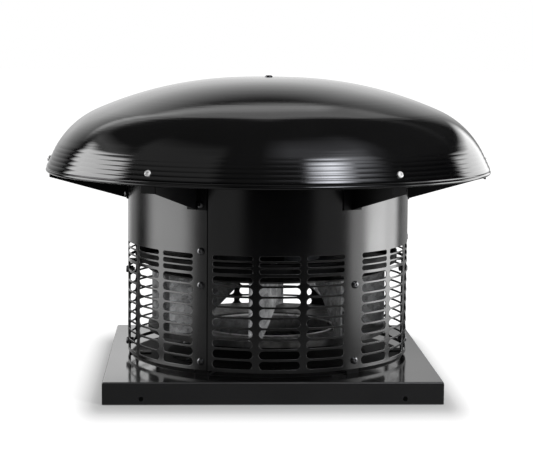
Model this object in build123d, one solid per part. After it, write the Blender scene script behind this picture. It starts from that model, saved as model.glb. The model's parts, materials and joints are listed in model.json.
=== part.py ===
from build123d import *
import math
import os

# Roof smoke extractor fan: a folded square base, a slotted round guard on six uprights,
# a spun cowl on six brackets, and a motor that drives a backward-curved impeller.
# Millimetres, +Z up, origin under the middle of the base. The front faces -Y.
# Azimuths are counted from the front towards +X.

# Base
base_width = 435.0
base_height = 29.0
base_sheet = 1.5
base_fold = 2.5
curb_hole_d = 6.2
curb_hole_inset = 49.5
curb_hole_height = 7.5

# Inlet cone
throat_radius = 91.0
cone_sheet = 1.2
cone_rise = 38.0
cone_curve = 26.0
cone_flange = 20.0

# Guard
guard_radius = 192.5
guard_sheet = 1.2
guard_lift = 6.0
guard_height = 263.0
guard_turn = 2.5
strip_spread = 1.2
bays = 6
panels = 3
lap_gap = 0.1
lap_over = 2.5
seam_width = 0.45
joggle = 0.7

# Slots in the guard: tall ones for the discharge, low ones for the motor
slot_length = 53.5
slot_height = 10.8
slot_pitch = 13.6
slot_rows = 9
slot_margin = 10.1
vent_height = 6.0
vent_pitch = 8.4
vent_rows = 3
vent_step = 12.6
bay_columns = 3
column_step = 18.4
narrow_step = 17.6
narrow_length = 50.8

# Uprights inside the guard
upright_width = 19.0
upright_sheet = 2.0
upright_foot = 28.0
seat_clearance = 0.1

# Motor plate
plate_height = 131.0
plate_sheet = 2.0
plate_rim = 12.0
plate_inset = 14.0

# Cowl
cowl_lift = 254.6
cowl_rise = 125.8
cowl_sheet = 1.5
crown_flat = 25.0
crown_radius = 518.0
crown_angle = 23.8
shoulder_radius = 119.0
skirt_angle = 64.5
skirt_drop = 4.0
dimple_depth = 1.2
ridge_angle = 57.0
ridge_count = 6
ridge_height = 0.35
bead_radius = 2.4
bead_stand = 1.0
rim_screw_lift = 13.0

# Cowl brackets
bracket_sheet = 2.0
bracket_web_offset = 7.0
bracket_tab = 20.0
bracket_low = 11.8
bracket_drop = 40.2
bracket_near = 15.0
bracket_far = 13.0
bracket_gap = 0.3

# Cowl bridge over the motor
bridge_half = 84.0
bridge_width = 30.0
bridge_sheet = 3.0
bridge_foot = 26.0
bridge_gap = 0.8

# Motor
frame_bore = 58.1
frame_wall = 5.0
fin_height = 8.0
fin_width = 3.0
fin_count = 20
frame_length = 121.0
lug_width = 15.0
flange_thickness = 9.0
flange_overlap = 1.0
end_thickness = 6.0
air_gap = 0.5
rotor_radius = 38.0
core_length = 72.0
coil_height = 12.0
bearing_outer = 20.0
bearing_bore = 8.5
bearing_width = 12.0
bearing_gap = 0.08
cover_height = 39.0
cover_sheet = 1.2
fan_radius = 58.0

# Impeller
impeller_radius = 164.5
shroud_sheet = 1.5
shroud_rise = 3.5
shroud_lip = 8.0
shroud_curve = 8.0
eye_gap = 3.6
eye_overlap = 9.0
backplate_sheet = 2.0
impeller_gap = 10.5
blade_count = 8
blade_sheet = 2.0
blade_start = -11.6
blade_sweep = 24.5
blade_root = 76.0
blade_knee = 16.0
blade_toe = 138.0
blade_bow = 6.0
hub_radius = 42.0
hub_boss = 19.0
hub_length = 40.0
shaft_radius = 8.0
touch = 0.05

# Fasteners
m5 = 5.0
m5_head = 9.6
m5_head_height = 2.8
m5_nut = 8.0
m5_nut_height = 4.0
m4 = 4.0
m4_head = 8.4
m4_head_height = 2.5
m4_nut = 7.0
m4_nut_height = 3.2
m6 = 6.0
m6_head = 11.0
m6_head_height = 3.3
hole_clearance = 0.1
rivet_d = 3.2
rivet_head = 6.4
rivet_head_height = 1.2

# Worked-out levels and radii
deck_z = base_height
seat_z = base_height - base_sheet
rim_z = deck_z + cone_rise
mouth_radius = throat_radius + cone_curve
cone_edge = mouth_radius + cone_flange
guard_z = deck_z + guard_lift
guard_top = guard_z + guard_height
guard_inner = guard_radius - guard_sheet
tongue_outer = guard_inner - lap_gap
tongue_inner = tongue_outer - guard_sheet
bay_angle = 360.0 / bays
panel_angle = 360.0 / panels
# Screw strips stand alternately a little to either side, so that bays are wide and narrow in turn
columns = [
    guard_turn + bay_angle * (k - 0.5) + strip_spread * (1 if k % 2 else -1) for k in range(bays)
]
seam_every = bays // panels
plate_z = deck_z + plate_height
plate_top = plate_z + plate_sheet
plate_radius = guard_radius - plate_inset
cowl_rim_z = deck_z + cowl_lift
cowl_top_z = cowl_rim_z + cowl_rise
bracket_z = cowl_rim_z - bracket_drop
motor_z = plate_top + flange_thickness
motor_top = motor_z + frame_length
end_top = motor_top + end_thickness
low_bearing_z = motor_z + 1.0
high_bearing_z = motor_top + 1.0 - bearing_width
frame_outer = frame_bore + frame_wall
fin_outer = frame_outer + fin_height
flange_radius = fin_outer + flange_overlap
cover_outer = flange_radius
cover_top = motor_top + 1.0 + cover_height
lug_radius = frame_outer + 2.5
backplate_top = plate_z - impeller_gap
backplate_z = backplate_top - backplate_sheet
eye_radius = throat_radius + cone_sheet + eye_gap
eye_z = rim_z - eye_overlap
shroud_z = eye_z + 2.0 + shroud_curve
shroud_outer_z = shroud_z + shroud_rise
hub_z = backplate_z - hub_length


def radial(azimuth):
    """Turn that carries a feature modelled along +X to an azimuth."""
    return Rot(0, 0, azimuth - 90.0)


def turned(*points):
    """Solid of revolution about Z from a closed outline of (radius, height) points."""
    return revolve(Plane.XZ * make_face(Polyline(*points, close=True)), axis=Axis.Z)


def spun(*edges):
    """Solid of revolution about Z from the edges of a closed outline."""
    return revolve(Plane.XZ * make_face(edges), axis=Axis.Z)


def sector(inner, outer, z0, z1, start, end):
    """Piece of a round wall between two azimuths."""
    outline = Polyline((inner, z0), (outer, z0), (outer, z1), (inner, z1), close=True)
    wall = revolve(Plane.XZ * make_face(outline), axis=Axis.Z, revolution_arc=end - start)
    return radial(start) * wall


def drill(radius, x0, x1, z, y=0.0):
    """Round cutter along +X between two distances from the axis."""
    return Pos(x0, y, z) * Rot(0, 90, 0) * Cylinder(
        radius, x1 - x0, align=(Align.CENTER, Align.CENTER, Align.MIN)
    )


def column_drill(radius, z0, z1, x=0.0, y=0.0):
    """Upright round cutter or pin between two heights."""
    return Pos(x, y, z0) * Cylinder(
        radius, z1 - z0, align=(Align.CENTER, Align.CENTER, Align.MIN)
    )


def slab(x0, x1, y0, y1, z0, z1):
    """Block between two corners."""
    return Pos(x0, y0, z0) * Box(
        x1 - x0, y1 - y0, z1 - z0, align=(Align.MIN, Align.MIN, Align.MIN)
    )


def socket_screw(size, head, head_height, length):
    """Button-head screw with a hexagon socket; the head stands on z = 0."""
    side = 0.35 * head_height
    crown = spun(
        Line((0, -length), (size / 2, -length)),
        Line((size / 2, -length), (size / 2, 0)),
        Line((size / 2, 0), (head / 2, 0)),
        Line((head / 2, 0), (head / 2, side)),
        ThreePointArc((head / 2, side), (0.36 * head, 0.82 * head_height), (0.22 * head, head_height)),
        Line((0.22 * head, head_height), (0, head_height)),
        Line((0, head_height), (0, -length)),
    )
    socket = extrude(RegularPolygon(0.32 * size, 6), amount=head_height)
    return crown - Pos(0, 0, 0.45 * head_height) * socket


def hex_nut(size, across, height):
    """Hexagon nut that stands on z = 0 and reaches down."""
    blank = extrude(RegularPolygon(across / 2, 6, major_radius=False), amount=-height)
    return blank - column_drill(size / 2 + hole_clearance / 2, -height - 1, 1)


def rivet(length):
    """Domed rivet; the head stands on z = 0."""
    flat = 0.12 * rivet_head
    return spun(
        Line((0, -length), (rivet_d / 2, -length)),
        Line((rivet_d / 2, -length), (rivet_d / 2, 0)),
        Line((rivet_d / 2, 0), (rivet_head / 2, 0)),
        ThreePointArc(
            (rivet_head / 2, 0), (0.36 * rivet_head, 0.65 * rivet_head_height), (flat, rivet_head_height)
        ),
        Line((flat, rivet_head_height), (0, rivet_head_height)),
        Line((0, rivet_head_height), (0, -length)),
    )


def on_seam(k):
    return k % seam_every == 0


def wall_inner(k):
    """Radius of the guard's innermost sheet at a column."""
    return tongue_inner if on_seam(k) else guard_inner


def flat_seat(radius, half_width):
    """Distance at which a flat of a given half width seats inside a round wall."""
    return math.sqrt((radius - seat_clearance) ** 2 - half_width**2)


def upright_face(k):
    return flat_seat(wall_inner(k), upright_width / 2)


def foot_radius(k):
    return upright_face(k) - upright_sheet - upright_foot / 2


def head_radius(k):
    return upright_face(k) - upright_sheet - 0.62 * upright_foot


guard_screw_levels = (guard_z + 11.5, guard_z + 110.9)
seam_screw_level = guard_z + 155.0
bracket_screw_levels = (bracket_z + 7.0, bracket_z + 42.0)
cone_rivet_radius = mouth_radius + 0.55 * cone_flange
cone_rivet_count = 6
m5_hole = m5 / 2 + hole_clearance
m4_hole = m4 / 2 + 2 * hole_clearance
m6_hole = m6 / 2 + hole_clearance
rivet_hole = rivet_d / 2 + touch


def make_base_plate():
    half = base_width / 2
    shell = Box(base_width, base_width, base_height, align=(Align.CENTER, Align.CENTER, Align.MIN))
    shell = fillet(shell.edges().filter_by(Axis.Z), base_fold)
    shell = fillet(shell.edges().group_by(Axis.Z)[-1], base_fold - 0.1)
    inner = base_width - 2 * base_sheet
    hollow = Box(inner, inner, seat_z, align=(Align.CENTER, Align.CENTER, Align.MIN))
    hollow = fillet(hollow.edges().filter_by(Axis.Z), base_fold - base_sheet)
    shell -= hollow
    shell -= column_drill(mouth_radius, seat_z - 1, deck_z + 1)
    spread = half - curb_hole_inset
    for side in range(4):
        for y in (-spread, spread):
            shell -= Rot(0, 0, 90 * side) * drill(
                curb_hole_d / 2, half - 2 * base_sheet, half + 1, curb_hole_height, y
            )
    for pose in rivet_poses():
        shell -= pose[0] * column_drill(rivet_hole, seat_z - 1, deck_z + 1)
    return shell


def rivet_poses():
    """Each rivet through the deck with the sheet thickness under its head."""
    poses = []
    for k in range(cone_rivet_count):
        turn = radial(guard_turn + 360.0 / cone_rivet_count * k)
        poses.append((turn * Pos(cone_rivet_radius, 0, 0), cone_sheet))
    for k in range(bays):
        poses.append((radial(columns[k]) * Pos(foot_radius(k), 0, 0), upright_sheet))
    return poses


def make_deck_rivets():
    return [
        pose * Pos(0, 0, deck_z + sheet) * rivet(sheet + base_sheet)
        for pose, sheet in rivet_poses()
    ]


def make_inlet_cone():
    bend_z = deck_z + cone_curve
    half = math.sqrt(0.5)
    low_mid = (mouth_radius - half * cone_curve, bend_z - half * cone_curve)
    inner_bend = cone_curve - cone_sheet
    top_mid = (mouth_radius - half * inner_bend, bend_z - half * inner_bend)
    cone = spun(
        Line((cone_edge, deck_z), (mouth_radius, deck_z)),
        ThreePointArc((mouth_radius, deck_z), low_mid, (throat_radius, bend_z)),
        Line((throat_radius, bend_z), (throat_radius, rim_z)),
        Line((throat_radius, rim_z), (throat_radius + cone_sheet, rim_z)),
        Line((throat_radius + cone_sheet, rim_z), (throat_radius + cone_sheet, bend_z)),
        ThreePointArc(
            (throat_radius + cone_sheet, bend_z), top_mid, (mouth_radius, deck_z + cone_sheet)
        ),
        Line((mouth_radius, deck_z + cone_sheet), (cone_edge, deck_z + cone_sheet)),
        Line((cone_edge, deck_z + cone_sheet), (cone_edge, deck_z)),
    )
    for pose, _ in rivet_poses()[:cone_rivet_count]:
        cone -= pose * column_drill(rivet_hole, deck_z - 1, deck_z + cone_sheet + 1)
    return cone


def slot_column(length):
    """Cutters for one column of slots, along +X."""
    reach = 5 * guard_sheet
    cutters = []
    for row in range(slot_rows + vent_rows):
        if row < slot_rows:
            z = guard_z + slot_margin + slot_pitch * row
            height = slot_height
        else:
            top_row = guard_z + slot_margin + slot_pitch * (slot_rows - 1)
            z = top_row + vent_step + vent_pitch * (row - slot_rows)
            height = vent_height
        place = Plane(
            origin=(guard_radius - reach, 0, z), x_dir=(0, 1, 0), z_dir=(1, 0, 0)
        )
        cutters.append(extrude(place * SlotOverall(length, height), amount=2 * reach))
    return cutters


def guard_holes(k):
    """Levels of the screw holes in the guard at a column."""
    levels = list(guard_screw_levels) + list(bracket_screw_levels)
    if on_seam(k):
        levels.append(seam_screw_level)
    return levels


def make_guard_panel(n):
    first = n * seam_every
    start = columns[first]
    end = start + panel_angle
    sheet_start = start + lap_over + seam_width
    panel = sector(guard_inner, guard_radius, guard_z, guard_top, sheet_start, end + lap_over)
    panel += sector(tongue_inner, guard_radius, guard_z, guard_top, sheet_start, sheet_start + joggle)
    panel += sector(
        tongue_inner, tongue_outer, guard_z, guard_top, start - lap_over, sheet_start + joggle
    )
    cutters = []
    for bay in range(seam_every):
        centre = start + strip_spread + bay_angle * (bay + 0.5)
        step = narrow_step if bay % 2 else column_step
        column = slot_column(narrow_length if bay % 2 else slot_length)
        for c in range(bay_columns):
            turn = radial(centre + step * (c - (bay_columns - 1) / 2))
            cutters += [turn * cutter for cutter in column]
    for k in range(first, first + seam_every + 1):
        turn = radial(columns[k % bays])
        for z in guard_holes(k % bays):
            cutters.append(turn * drill(m5_hole, tongue_inner - 2, guard_radius + 2, z))
    return panel - cutters


def make_upright(k):
    face = upright_face(k)
    back = face - upright_sheet
    toe = back - upright_foot
    half = upright_width / 2
    post = slab(back, face, -half, half, deck_z, plate_z)
    foot = slab(toe, face, -half, half, deck_z, deck_z + upright_sheet)
    head = slab(toe, face, -half, half, plate_z - upright_sheet, plate_z)
    upright = post + foot + head
    upright -= column_drill(rivet_hole, deck_z - 1, deck_z + upright_sheet + 1, foot_radius(k))
    upright -= column_drill(m5_hole, plate_z - upright_sheet - 1, plate_z + 1, head_radius(k))
    for z in guard_screw_levels:
        upright -= drill(m5_hole, back - 1, face + 1, z)
    return radial(columns[k]) * upright


def radial_screw(seat, nut_face, z, y=0.0):
    """Screw from outside and its nut inside, along +X."""
    length = seat - nut_face + m5_nut_height + 1.0
    turn = Rot(0, 90, 0)
    screw = Pos(seat, y, z) * turn * socket_screw(m5, m5_head, m5_head_height, length)
    nut = Pos(nut_face, y, z) * turn * hex_nut(m5, m5_nut, m5_nut_height)
    return screw, nut


def nut_seat(k):
    return flat_seat(wall_inner(k), m5_nut / math.sqrt(3))


def make_guard_screws():
    screws = []
    nuts = []
    for k in range(bays):
        turn = radial(columns[k])
        places = [(z, upright_face(k) - upright_sheet) for z in guard_screw_levels]
        if on_seam(k):
            places.append((seam_screw_level, nut_seat(k)))
        for z, face in places:
            screw, nut = radial_screw(guard_radius + touch, face, z)
            screws.append(turn * screw)
            nuts.append(turn * nut)
    return screws, nuts


def make_bracket_screws():
    screws = []
    nuts = []
    seat = guard_radius + touch + bracket_sheet
    for k in range(bays):
        turn = radial(columns[k])
        for z in bracket_screw_levels:
            screw, nut = radial_screw(seat + touch, nut_seat(k), z)
            screws.append(turn * screw)
            nuts.append(turn * nut)
    return screws, nuts


# Cowl outline: the crown arc, the shoulder arc and the straight skirt follow each other smoothly
crown_c = (crown_flat, cowl_top_z - crown_radius)
a1 = math.radians(crown_angle)
a2 = math.radians(skirt_angle)
step_r = crown_radius - shoulder_radius
shoulder_c = (crown_c[0] + step_r * math.sin(a1), crown_c[1] + step_r * math.cos(a1))
skirt_top = (
    shoulder_c[0] + shoulder_radius * math.sin(a2),
    shoulder_c[1] + shoulder_radius * math.cos(a2),
)
skirt_end_z = cowl_rim_z + skirt_drop


def skirt_radius(z, inset=0.0):
    """Radius of the straight skirt at a height, moved inwards along its normal."""
    return skirt_top[0] + (skirt_top[1] - z) / math.tan(a2) - inset / math.sin(a2)


def arc_point(centre, radius, angle):
    return (centre[0] + radius * math.sin(angle), centre[1] + radius * math.cos(angle))


def arc_between(centre, radius, start, end):
    return ThreePointArc(
        arc_point(centre, radius, start),
        arc_point(centre, radius, (start + end) / 2),
        arc_point(centre, radius, end),
    )


def crown_height(r, inset=0.0):
    """Height of the crown's arc at a radius, on the sheet's outside or inside."""
    radius = crown_radius - inset
    return crown_c[1] + math.sqrt(radius**2 - (r - crown_c[0]) ** 2)


top_hole = m6_hole
dimple_span = crown_flat - top_hole
dimple_radius = (dimple_span**2 + dimple_depth**2) / (2 * dimple_depth)


def dimple_height(r, inset=0.0):
    """Height of the dimple around the top screw."""
    radius = dimple_radius - inset
    drop = radius - math.sqrt(radius**2 - (crown_flat - r) ** 2)
    return cowl_top_z - inset - drop


def ridge_point(length, proud):
    """Point along the ridged part of the outline, a distance from its start."""
    start = math.radians(ridge_angle)
    bend = shoulder_radius * (a2 - start)
    if length < bend:
        angle = start + length / shoulder_radius
        return arc_point(shoulder_c, shoulder_radius + proud, angle)
    run = length - bend
    r = skirt_top[0] + run * math.cos(a2) + proud * math.sin(a2)
    return (r, skirt_top[1] - run * math.sin(a2) + proud * math.cos(a2))


bead_centre = (skirt_radius(skirt_end_z) + bead_stand - bead_radius, cowl_rim_z)


def make_cowl():
    start = math.radians(ridge_angle)
    bend = shoulder_radius * (a2 - start)
    run = (skirt_top[1] - skirt_end_z) / math.sin(a2)
    step = (bend + run) / ridge_count
    edges = [
        ThreePointArc(
            (top_hole, dimple_height(top_hole)),
            (crown_flat / 2, dimple_height(crown_flat / 2)),
            (crown_flat, cowl_top_z),
        ),
        arc_between(crown_c, crown_radius, 0, a1),
        arc_between(shoulder_c, shoulder_radius, a1, start),
    ]
    for n in range(ridge_count):
        edges.append(
            ThreePointArc(
                ridge_point(n * step, 0),
                ridge_point((n + 0.5) * step, ridge_height),
                ridge_point((n + 1) * step, 0),
            )
        )
    end = ridge_point(bend + run, 0)
    neck = (bead_centre[0] + 0.4 * bead_radius, cowl_rim_z + 0.6 * bead_radius)
    inner_low = (bead_centre[0] - 0.6 * bead_radius, cowl_rim_z)
    inner_end = (skirt_radius(skirt_end_z, cowl_sheet), skirt_end_z)
    inside = shoulder_radius - cowl_sheet
    edges += [
        Line(end, neck),
        Line(neck, inner_low),
        Line(inner_low, inner_end),
        Line(inner_end, arc_point(shoulder_c, inside, a2)),
        arc_between(shoulder_c, inside, a1, a2),
        arc_between(crown_c, crown_radius - cowl_sheet, 0, a1),
        ThreePointArc(
            (top_hole, dimple_height(top_hole, cowl_sheet)),
            (crown_flat / 2, dimple_height(crown_flat / 2, cowl_sheet)),
            (crown_flat, cowl_top_z - cowl_sheet),
        ),
        Line((top_hole, dimple_height(top_hole, cowl_sheet)), (top_hole, dimple_height(top_hole))),
    ]
    section = make_face(edges) + Pos(*bead_centre) * Circle(bead_radius)
    cowl = revolve(Plane.XZ * section, axis=Axis.Z)
    for k in range(bays):
        cowl -= rim_frame(k) * column_drill(m4_hole, -2 * cowl_sheet, 2 * cowl_sheet)
    return cowl


# Rim screws go through the skirt square to it, in the middle of each bracket's tab
rim_screw_z = cowl_rim_z + rim_screw_lift
tab_radius = bead_centre[0] - bead_radius - bracket_gap
tab_turn = -math.degrees(math.asin((bracket_web_offset + bracket_tab / 2) / tab_radius))


def rim_frame(k):
    """Frame on the skirt's outside at a rim screw, Z pointing out of the sheet."""
    return (
        radial(columns[k] + tab_turn)
        * Pos(skirt_radius(rim_screw_z), 0, rim_screw_z)
        * Rot(0, skirt_angle, 0)
    )


def make_rim_screws():
    screws = []
    nuts = []
    tab_back = cowl_sheet + bracket_gap + bracket_sheet
    length = ridge_height + tab_back + m4_nut_height + 1.5
    head = socket_screw(m4, m4_head, m4_head_height, length)
    nut = Rot(0, 0, 30) * hex_nut(m4, m4_nut, m4_nut_height)
    for k in range(bays):
        screws.append(rim_frame(k) * Pos(0, 0, ridge_height + touch) * head)
        nuts.append(rim_frame(k) * Pos(0, 0, -tab_back - touch) * nut)
    return screws, nuts


def tab_outline():
    """Section of the bracket's outer tab: upright past the rim, then along the skirt."""
    low = cowl_rim_z - bracket_low
    inset = cowl_sheet + bracket_gap
    top_z = rim_screw_z + 0.45 * bracket_tab
    kink_z = skirt_top[1] + (skirt_top[0] - inset / math.sin(a2) - tab_radius) * math.tan(a2)
    back = inset + bracket_sheet
    back_radius = tab_radius - bracket_sheet
    back_kink = skirt_top[1] + (skirt_top[0] - back / math.sin(a2) - back_radius) * math.tan(a2)
    outer = [(tab_radius, low), (tab_radius, kink_z), (skirt_radius(top_z, inset), top_z)]
    inner = [(skirt_radius(top_z, back), top_z), (back_radius, back_kink), (back_radius, low)]
    return outer, inner


def make_bracket(k):
    flange_inner = guard_radius + touch
    flange_outer = flange_inner + bracket_sheet
    near = math.degrees((bracket_near - bracket_web_offset) / guard_radius)
    far = math.degrees((bracket_far + bracket_web_offset) / guard_radius)
    flange_top = guard_top - guard_lift
    flange = sector(flange_inner, flange_outer, bracket_z, flange_top, 90 - far, 90 + near)
    outer, inner = tab_outline()
    tab_face = Plane.XZ * make_face(Polyline(*outer, *inner, close=True))
    tab = Rot(0, 0, tab_turn) * Pos(0, bracket_tab / 2, 0) * extrude(tab_face, amount=bracket_tab)
    mid = (flange_inner + flange_outer) / 2
    low, kink, top = inner[2], inner[1], inner[0]
    slack = bracket_sheet / 2
    web_points = [
        (mid, bracket_z),
        (low[0] + slack, low[1]),
        (kink[0] + slack, kink[1]),
        (top[0] + slack / math.sin(a2), top[1]),
        (mid, flange_top),
    ]
    web_face = Plane.XZ * make_face(Polyline(*web_points, close=True))
    web_side = -bracket_web_offset + bracket_sheet / 2
    web = Pos(0, web_side, 0) * extrude(web_face, amount=bracket_sheet)
    bracket = flange + web + tab
    for z in bracket_screw_levels:
        bracket -= drill(m5_hole, flange_inner - 2, flange_outer + 2, z)
    hole = Pos(skirt_radius(rim_screw_z), 0, rim_screw_z) * Rot(0, skirt_angle, 0)
    reach = 3 * (cowl_sheet + bracket_gap + bracket_sheet)
    bracket -= Rot(0, 0, tab_turn) * hole * column_drill(m4_hole, -reach, 1)
    return radial(columns[k]) * bracket


bridge_top = crown_height(bridge_half + bridge_sheet, cowl_sheet) - bridge_gap
bridge_screw_radius = bridge_half + bridge_sheet + bridge_foot / 2


def make_bridge():
    half = bridge_width / 2
    outer = bridge_half + bridge_sheet
    bridge = slab(-outer, outer, -half, half, bridge_top - bridge_sheet, bridge_top)
    for side in (-1, 1):
        post = slab(bridge_half, outer, -half, half, plate_top, bridge_top)
        foot = slab(bridge_half, outer + bridge_foot, -half, half, plate_top, plate_top + bridge_sheet)
        leg = post + foot
        leg -= column_drill(m5_hole, plate_top - 1, plate_top + bridge_sheet + 1, bridge_screw_radius)
        bridge += Rot(0, 0, 90 - 90 * side) * leg
    bridge -= column_drill(m6_hole, bridge_top - 2 * bridge_sheet, bridge_top + 1)
    return radial(guard_turn) * bridge


def make_cowl_seal():
    """Soft washer between the bridge and the crown."""
    top = dimple_height(top_hole, cowl_sheet)
    ring = column_drill(2.2 * m6, bridge_top, top - touch) - column_drill(m6_hole, 0, top + 1)
    return ring


def make_top_screw():
    seat = dimple_height(m6_head / 2) + touch
    length = seat - bridge_top + bridge_sheet + 9.0
    return Pos(0, 0, seat) * socket_screw(m6, m6_head, m6_head_height, length)


def make_bridge_nut():
    return Pos(0, 0, bridge_top - bridge_sheet) * hex_nut(m6, 10.0, 5.0)


def make_motor_plate():
    disc = turned(
        (shaft_radius + 20.0, plate_z),
        (plate_radius, plate_z),
        (plate_radius, plate_top + plate_rim),
        (plate_radius - plate_sheet, plate_top + plate_rim),
        (plate_radius - plate_sheet, plate_top),
        (shaft_radius + 20.0, plate_top),
    )
    for k in range(bays):
        disc -= radial(columns[k]) * column_drill(m5_hole, plate_z - 1, plate_top + 1, head_radius(k))
    for side in (0, 180):
        disc -= radial(guard_turn + side) * column_drill(
            m5_hole, plate_z - 1, plate_top + 1, bridge_screw_radius
        )
    for quarter in range(4):
        disc -= lug_turn(quarter) * column_drill(m6_hole, plate_z - 1, plate_top + 1, lug_radius)
    return disc


def make_plate_screws():
    screws = []
    nuts = []
    places = [(columns[k], head_radius(k), plate_top, plate_z - upright_sheet) for k in range(bays)]
    for side in (0, 180):
        places.append((guard_turn + side, bridge_screw_radius, plate_top + bridge_sheet, plate_z))
    for azimuth, r, seat, under in places:
        turn = radial(azimuth)
        length = seat - under + m5_nut_height + 0.5
        screws.append(turn * Pos(r, 0, seat) * socket_screw(m5, m5_head, m5_head_height, length))
        nuts.append(turn * Pos(r, 0, under) * hex_nut(m5, m5_nut, m5_nut_height))
    return screws, nuts


def lug_turn(quarter):
    return radial(guard_turn + 45 + 90 * quarter)


def make_motor_frame():
    frame = turned(
        (frame_bore, motor_z), (frame_outer, motor_z), (frame_outer, motor_top), (frame_bore, motor_top)
    )
    half = fin_width / 2
    for n in range(fin_count):
        fin = slab(frame_outer - 1, fin_outer, -half, half, motor_z + 5, motor_top - 4)
        frame += radial(guard_turn + 360.0 / fin_count * n) * fin
    half = lug_width / 2
    for quarter in range(4):
        lug = slab(frame_outer - 1.5, fin_outer, -half, half, motor_z, motor_top)
        lug -= column_drill(m6_hole, motor_z - 1, motor_z + 16, lug_radius)
        lug -= column_drill(m5_hole, motor_top - 16, motor_top + 1, lug_radius)
        frame += lug_turn(quarter) * lug
    for quarter in range(4):
        frame -= lug_turn(quarter) * column_drill(m6_hole, motor_z - 1, motor_z + 16, lug_radius)
        frame -= lug_turn(quarter) * column_drill(m5_hole, motor_top - 16, motor_top + 1, lug_radius)
    return frame


def make_motor_flange():
    spigot = frame_bore - touch
    pocket = bearing_outer + touch
    shield = turned(
        (shaft_radius + 2.5, plate_top),
        (flange_radius, plate_top),
        (flange_radius, motor_z),
        (spigot, motor_z),
        (spigot, motor_z + 4),
        (pocket + 8, motor_z + 4),
        (pocket + 6, low_bearing_z + bearing_width),
        (pocket, low_bearing_z + bearing_width),
        (pocket, low_bearing_z),
        (shaft_radius + 2.5, low_bearing_z),
    )
    for quarter in range(4):
        shield -= lug_turn(quarter) * column_drill(m6_hole, plate_top - 1, motor_z + 1, lug_radius)
    return shield


def make_end_shield():
    spigot = frame_bore - touch
    pocket = bearing_outer + touch
    edge = cover_outer - cover_sheet - 2 * touch
    roof = high_bearing_z + bearing_width
    shield = turned(
        (bearing_bore + 2.0, end_top),
        (edge, end_top),
        (edge, motor_top),
        (spigot, motor_top),
        (spigot, motor_top - 4),
        (pocket + 8, motor_top - 4),
        (pocket + 6, high_bearing_z),
        (pocket, high_bearing_z),
        (pocket, roof),
        (bearing_bore + 2.0, roof),
    )
    for quarter in range(4):
        shield -= lug_turn(quarter) * column_drill(m5_hole, motor_top - 1, end_top + 1, lug_radius)
    return shield


def make_mount_bolts():
    length = plate_sheet + flange_thickness + 14.0
    bolt = Rot(180, 0, 0) * socket_screw(m6, m6_head, m6_head_height, length)
    return [lug_turn(q) * Pos(lug_radius, 0, plate_z) * bolt for q in range(4)]


def make_end_screws():
    screw = socket_screw(m5, m5_head, m5_head_height, end_thickness + 12.0)
    return [lug_turn(q) * Pos(lug_radius, 0, end_top) * screw for q in range(4)]


core_z = (low_bearing_z + bearing_width + high_bearing_z - core_length) / 2


def make_stator_core():
    inner = rotor_radius + air_gap
    outer = frame_bore - touch
    return turned(
        (inner, core_z), (outer, core_z), (outer, core_z + core_length), (inner, core_z + core_length)
    )


def make_stator_winding():
    inner = rotor_radius + 3 * air_gap
    outer = frame_bore - 4.0
    bulge = 2.5
    coils = []
    for low, high in (
        (core_z - coil_height, core_z),
        (core_z + core_length, core_z + core_length + coil_height),
    ):
        coils.append(
            turned(
                (inner, low + bulge),
                (inner + bulge, low),
                (outer - bulge, low),
                (outer, low + bulge),
                (outer, high - bulge),
                (outer - bulge, high),
                (inner + bulge, high),
                (inner, high - bulge),
            )
        )
    return coils


def make_bearing(z):
    """Sealed bearing: an inner ring inside an outer ring with two seal lips."""
    top = z + bearing_width
    lip = 1.2
    inner_face = bearing_bore + 3.5
    track = inner_face + 3.5
    inner = turned(
        (bearing_bore, z), (inner_face, z), (inner_face, top), (bearing_bore, top)
    )
    seal = inner_face + bearing_gap
    outer = turned(
        (seal, z + 0.5),
        (bearing_outer, z),
        (bearing_outer, top),
        (seal, top - 0.5),
        (seal, top - 0.5 - lip),
        (track, top - 0.5 - lip),
        (track, z + 0.5 + lip),
        (seal, z + 0.5 + lip),
    )
    return inner, outer


def make_shaft():
    low_end = hub_z + 2.5
    middle = bearing_bore + 2.5
    fan_seat = bearing_bore - 1.5
    low_shoulder = low_bearing_z + bearing_width
    top = end_top + 19.0
    shaft = turned(
        (0, low_end),
        (shaft_radius, low_end),
        (shaft_radius, low_bearing_z),
        (bearing_bore, low_bearing_z),
        (bearing_bore, low_shoulder),
        (middle, low_shoulder),
        (middle, high_bearing_z),
        (bearing_bore, high_bearing_z),
        (bearing_bore, high_bearing_z + bearing_width),
        (fan_seat, high_bearing_z + bearing_width),
        (fan_seat, top),
        (0, top),
    )
    return shaft - column_drill(m6 / 2 + touch, low_end - 1, low_end + 16)


def make_rotor_core():
    bore = bearing_bore + 2.5
    return turned(
        (bore, core_z),
        (rotor_radius, core_z),
        (rotor_radius, core_z + core_length),
        (bore, core_z + core_length),
    )


def make_cooling_fan():
    bore = bearing_bore - 1.5
    low = end_top + m5_head_height + 1.2
    hub_top = end_top + 18.0
    blade_top = hub_top + 3.0
    fan = turned(
        (bore, low),
        (fan_radius, low),
        (fan_radius, low + 2),
        (bore + 7, low + 2),
        (bore + 7, hub_top),
        (bore, hub_top),
    )
    for n in range(6):
        fan += radial(60 * n) * slab(bore + 6, fan_radius, -1, 1, low + 1, blade_top)
    return fan


def make_fan_cover():
    inner = cover_outer - cover_sheet
    z0 = motor_top + 1.0
    cover = turned(
        (0, cover_top),
        (cover_outer, cover_top),
        (cover_outer, z0),
        (inner, z0),
        (inner, cover_top - cover_sheet),
        (0, cover_top - cover_sheet),
    )
    cover = fillet(cover.edges().filter_by(GeomType.CIRCLE).group_by(Axis.Z)[-1], 4 * cover_sheet)
    holes = []
    for ring, count in ((0.3, 8), (0.52, 14), (0.74, 20)):
        for n in range(count):
            holes.append(
                radial(360.0 / count * n)
                * column_drill(3.2, cover_top - 2 * cover_sheet, cover_top + 1, ring * cover_outer)
            )
    return cover - holes


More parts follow.
